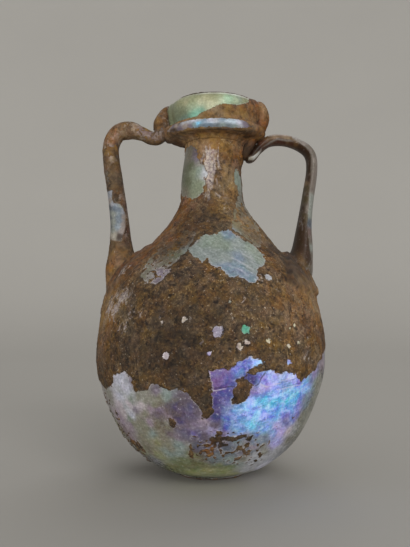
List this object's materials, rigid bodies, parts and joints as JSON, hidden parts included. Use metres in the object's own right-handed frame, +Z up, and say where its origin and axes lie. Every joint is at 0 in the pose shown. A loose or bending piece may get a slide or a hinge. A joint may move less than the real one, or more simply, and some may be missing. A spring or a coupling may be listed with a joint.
{
  "type": "handled glass vase",
  "caption": "Small round-bodied blown glass flask with a narrow neck, a ringed collar mouth and unlike rod and strap handles, crusted and iridescent from burial.",
  "frame": {"origin": "centre of the flattened underside that the flask stands on", "axes": "+Z up through the neck, +X towards the thin strap handle, -X towards the thick rod handle, -Y is the front"},
  "size_m": [0.081, 0.081, 0.1336],
  "materials": {
    "weathered_glass": "pale green glass under opaque brown burial crust, with lilac, blue and silver iridescent film where the crust has flaked"
  },
  "bodies": {
    "root": {"vase": "weathered_glass"}
  },
  "joints": []
}
